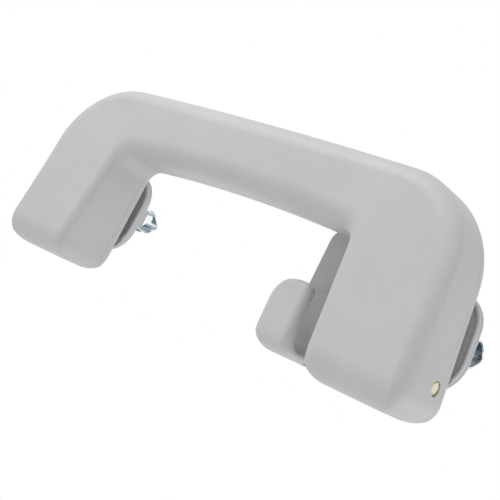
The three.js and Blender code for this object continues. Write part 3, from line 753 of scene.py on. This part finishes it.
# ---- Materials -----------------------------------------------------------------------------------

class Graph:
    """A material under construction, with its nodes fed from object coordinates."""

    def __init__(self, name):
        self.material = bpy.data.materials.new(name)
        self.material.use_nodes = True
        self.nodes = self.material.node_tree.nodes
        self.links = self.material.node_tree.links
        self.shader = self.nodes["Principled BSDF"]
        self.place = self.nodes.new("ShaderNodeTexCoord").outputs["Object"]

    def noise(self, scale, detail=3.0, roughness=0.5, stretch=None):
        node = self.nodes.new("ShaderNodeTexNoise")
        node.inputs["Scale"].default_value = scale
        node.inputs["Detail"].default_value = detail
        node.inputs["Roughness"].default_value = roughness
        source = self.place
        if stretch:
            mapping = self.nodes.new("ShaderNodeMapping")
            mapping.inputs["Scale"].default_value = stretch
            self.links.new(self.place, mapping.inputs["Vector"])
            source = mapping.outputs["Vector"]
        self.links.new(source, node.inputs["Vector"])
        return node.outputs["Fac"]

    def ramp(self, value, low, high, span=(0.3, 0.7)):
        node = self.nodes.new("ShaderNodeMapRange")
        node.inputs["From Min"].default_value, node.inputs["From Max"].default_value = span
        node.inputs["To Min"].default_value, node.inputs["To Max"].default_value = low, high
        self.links.new(value, node.inputs["Value"])
        return node.outputs["Result"]

    def colours(self, value, stops):
        node = self.nodes.new("ShaderNodeValToRGB")
        ramp = node.color_ramp
        while len(ramp.elements) < len(stops):
            ramp.elements.new(0.5)
        for element, (position, colour) in zip(ramp.elements, stops):
            element.position = position
            element.color = (*colour, 1)
        self.links.new(value, node.inputs["Fac"])
        return node.outputs["Color"]

    def bump(self, height, distance, strength=1.0, under=None):
        node = self.nodes.new("ShaderNodeBump")
        node.inputs["Strength"].default_value = strength
        node.inputs["Distance"].default_value = distance
        self.links.new(height, node.inputs["Height"])
        if under:
            self.links.new(under, node.inputs["Normal"])
        return node.outputs["Normal"]

    def feed(self, **sockets):
        for name, value in sockets.items():
            socket = self.shader.inputs[name.replace("_", " ")]
            if isinstance(value, bpy.types.NodeSocket):
                self.links.new(value, socket)
            else:
                socket.default_value = value
        return self.material


def grained_plastic(name, grey, roughness, tint=(1, 1, 1.01)):
    """Moulded plastic: a fine spark-eroded grain, faint flow marks and slightly uneven gloss."""
    g = Graph(name)
    flow = g.noise(28, 4, 0.6)
    dark = [grey * 0.965 * t for t in tint]
    light = [grey * 1.03 * t for t in tint]
    colour = g.colours(flow, [(0.3, dark), (0.7, light)])
    gloss = g.ramp(g.noise(160, 3), roughness - 0.05, roughness + 0.05)
    waviness = g.bump(g.noise(35, 2), 0.00012, 0.35)
    grain = g.bump(g.noise(3200, 3, 0.6), 0.000016, 0.5, waviness)
    return g.feed(Base_Color=colour, Roughness=gloss, Normal=grain, IOR=1.46)


def zinc_steel(name):
    """Bright zinc plate on rolled strip: fine lines, and painted reflections, dark and bright, that run
    across the bends.
    """
    g = Graph(name)
    lines = g.noise(900, 4, 0.6, stretch=(6, 0.6, 0.6))
    # The colour carries painted reflections: dark and bright streaks stand in for the room mirrored in the
    # bent strip.
    painted_reflection_bands = g.noise(210, 2, 0.6, stretch=(0.15, 1, 1))
    dark = [(0.38, (0.07, 0.10, 0.13)), (0.46, (0.30, 0.38, 0.43))]
    painted_bright_reflection = [(0.54, (0.75, 0.80, 0.82)), (0.7, (0.9, 0.92, 0.92))]
    colour = g.colours(painted_reflection_bands, dark + painted_bright_reflection)
    gloss = g.ramp(lines, 0.08, 0.2)
    return g.feed(Base_Color=colour, Metallic=1.0, Roughness=gloss, Normal=g.bump(lines, 0.00001, 0.5))


def yellow_chromate(name):
    """Yellow passivated zinc, which shifts between olive and straw."""
    g = Graph(name)
    film = g.noise(700, 3)
    stops = [(0.3, (0.18, 0.16, 0.05)), (0.5, (0.46, 0.42, 0.14)), (0.7, (0.62, 0.58, 0.26))]
    colour = g.colours(film, stops)
    gloss = g.ramp(g.noise(1500, 3), 0.22, 0.4)
    return g.feed(Base_Color=colour, Metallic=1.0, Roughness=gloss, Normal=g.bump(film, 0.00002, 0.4))


def cropped_steel(name):
    """The pin's end face, faintly pink where the passivation is thin."""
    g = Graph(name)
    film = g.noise(900, 4, 0.6)
    stops = [(0.3, (0.50, 0.40, 0.32)), (0.5, (0.68, 0.56, 0.47)), (0.7, (0.76, 0.68, 0.58))]
    colour = g.colours(film, stops)
    gloss = g.ramp(g.noise(2400, 3), 0.35, 0.55)
    return g.feed(Base_Color=colour, Metallic=0.7, Roughness=gloss, Normal=g.bump(film, 0.00003, 0.5))


def plain_steel(name):
    """Drawn steel wire and screws, with fine marks and a grey oil film."""
    g = Graph(name)
    marks = g.noise(1800, 4, 0.6)
    colour = g.colours(g.noise(300, 3), [(0.3, (0.30, 0.31, 0.32)), (0.7, (0.48, 0.49, 0.50))])
    gloss = g.ramp(marks, 0.25, 0.42)
    return g.feed(Base_Color=colour, Metallic=1.0, Roughness=gloss, Normal=g.bump(marks, 0.00001, 0.4))


def black_acetal(name):
    """Satin black acetal with a trace of grease."""
    g = Graph(name)
    patches = g.noise(400, 3)
    colour = g.colours(patches, [(0.3, (0.016, 0.016, 0.018)), (0.7, (0.03, 0.03, 0.032))])
    grain = g.bump(g.noise(4000, 2), 0.00001, 0.5)
    return g.feed(Base_Color=colour, Roughness=g.ramp(patches, 0.3, 0.5), Normal=grain)


def pale_floor(name):
    g = Graph(name)
    colour = g.colours(g.noise(3, 4), [(0.3, (0.78, 0.78, 0.78)), (0.7, (0.82, 0.82, 0.82))])
    return g.feed(Base_Color=colour, Roughness=0.8, Emission_Color=(1, 1, 1, 1), Emission_Strength=0.2)


def dress(piece, *materials):
    piece.data.materials.clear()
    for material in materials:
        piece.data.materials.append(material)


# ---- The model -----------------------------------------------------------------------------------

SHELL_GREY = 0.39
BASE_GREY = 0.40
shell_plastic = grained_plastic("Grip plastic", SHELL_GREY, 0.5)
base_plastic = grained_plastic("Base plastic", BASE_GREY, 0.55)
strip_steel = zinc_steel("Zinc strip")
pin_side = yellow_chromate("Yellow chromate")
pin_face = cropped_steel("Cropped pin end")
wire_steel = plain_steel("Plain steel")
acetal = black_acetal("Black acetal")

SLOT_FINISH = {
    "shell_plastic": shell_plastic,
    "base_plastic": base_plastic,
    "zinc_spring_steel": strip_steel,
    "yellow_zinc_steel": pin_side,
    "plain_steel": wire_steel,
    "damper_plastic": acetal,
}


def place(piece, body, slot, node):
    """Gives a finished piece its material, its CAD body and the node that it stands for."""
    dress(piece, SLOT_FINISH[slot])
    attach(piece, body)
    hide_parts(node)
    return piece


shell, cover = make_grip()
place(shell, "grip", "shell_plastic", "grip_front_shell")
place(cover, "grip", "shell_plastic", "grip_back_cover")
place(make_coat_hook(), "right_base", "base_plastic", "coat_hook")
place(make_spring("spring_wire"), "right_base", "plain_steel", "right_torsion_spring")

BACK_FACE_Y = {"left": 0, "right": -HOOK_PLATE_T - GAP}
for word, side in (("left", -1), ("right", 1)):
    body = f"{word}_base"
    bracket = make_bracket(f"{word}_bracket", side, BACK_FACE_Y[word])
    place(bracket, body, "base_plastic", f"{word}_base_bracket")
    place(make_clip(f"{word}_clip", side), body, "zinc_spring_steel", f"{word}_spring_clip")
    pin = place(make_pin(f"{word}_pin", side), "grip", "yellow_zinc_steel", f"{word}_hinge_pin")
    pin.data.materials.append(pin_face)
    for face in pin.data.polygons:
        flat_end = abs(face.normal.x) > 0.99
        face.material_index = int(flat_end)

CARRIED = {
    "base_plastic": ("left_lock_plug", "right_lock_plug"),
    "plain_steel": tuple(f"cover_screw_{k + 1}" for k in range(len(SCREWS))),
    "damper_plastic": ("right_spring_sleeve", "left_damper_rotor", "left_damper_housing", "left_damper_lid"),
}
for slot, names in CARRIED.items():
    for name in names:
        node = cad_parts[name]
        dress(node, SLOT_FINISH[slot])


# ---- Studio --------------------------------------------------------------------------------------

CAMERA_AZIMUTH, CAMERA_ELEVATION, CAMERA_ROLL = 40.56, -4.34, 25.18
CAMERA_DISTANCE = 417.64
CAMERA_TARGET = (-0.9, -6.6, 21.5)
CAMERA_LENS, SENSOR = 72.67, 36
CAMERA_SHIFT = (0.0131, -0.0041)
FLOOR_HALF_WIDTH, FLOOR_T, FLOOR_DEPTH = 12000, 5, 600


def make_camera():
    azimuth, elevation, roll = (math.radians(a) for a in (CAMERA_AZIMUTH, CAMERA_ELEVATION, CAMERA_ROLL))
    back = Vector((
        math.sin(azimuth) * math.cos(elevation),
        -math.cos(azimuth) * math.cos(elevation),
        math.sin(elevation),
    ))
    right = Vector((math.cos(azimuth), math.sin(azimuth), 0))
    up = back.cross(right)
    rolled_right = math.cos(roll) * right + math.sin(roll) * up
    rolled_up = back.cross(rolled_right)
    turn = Matrix((rolled_right, rolled_up, back)).transposed().to_4x4()
    data = bpy.data.cameras.new("camera")
    data.lens = CAMERA_LENS
    data.sensor_width = SENSOR
    data.shift_x, data.shift_y = CAMERA_SHIFT
    data.clip_start = 0.01
    camera = bpy.data.objects.new("camera", data)
    camera.matrix_world = Matrix.Translation((Vector(CAMERA_TARGET) + back * CAMERA_DISTANCE) * MM) @ turn
    bpy.context.scene.collection.objects.link(camera)
    bpy.context.scene.camera = camera
    return camera, rolled_right, rolled_up, back


def soft_light(name, towards, distance, size, power):
    """A square soft box that faces the object from a direction."""
    data = bpy.data.lights.new(name, "AREA")
    data.size = size
    data.energy = power
    lamp = bpy.data.objects.new(name, data)
    direction = Vector(towards).normalized()
    lamp.location = direction * distance
    lamp.rotation_euler = direction.to_track_quat("Z", "Y").to_euler()
    bpy.context.scene.collection.objects.link(lamp)


def make_studio():
    camera, right, up, back = make_camera()
    soft_light("key", up * 1.0 + back * 0.1 - right * 0.2, 0.9, 0.5, 4.1)
    soft_light("fill", right * 0.8 - up * 0.9, 0.8, 0.4, 1.1)
    edge = (-FLOOR_HALF_WIDTH, FLOOR_HALF_WIDTH)
    floor = block(edge, edge, (-FLOOR_DEPTH - FLOOR_T, -FLOOR_DEPTH))
    floor.name = "floor"
    dress(floor, pale_floor("Pale floor"))
    world = bpy.data.worlds.new("world")
    world.use_nodes = True
    world.node_tree.nodes["Background"].inputs["Color"].default_value = (1, 1, 1, 1)
    world.node_tree.nodes["Background"].inputs["Strength"].default_value = 1.0
    bpy.context.scene.world = world
    bpy.context.scene.view_settings.view_transform = "Standard"


make_studio()
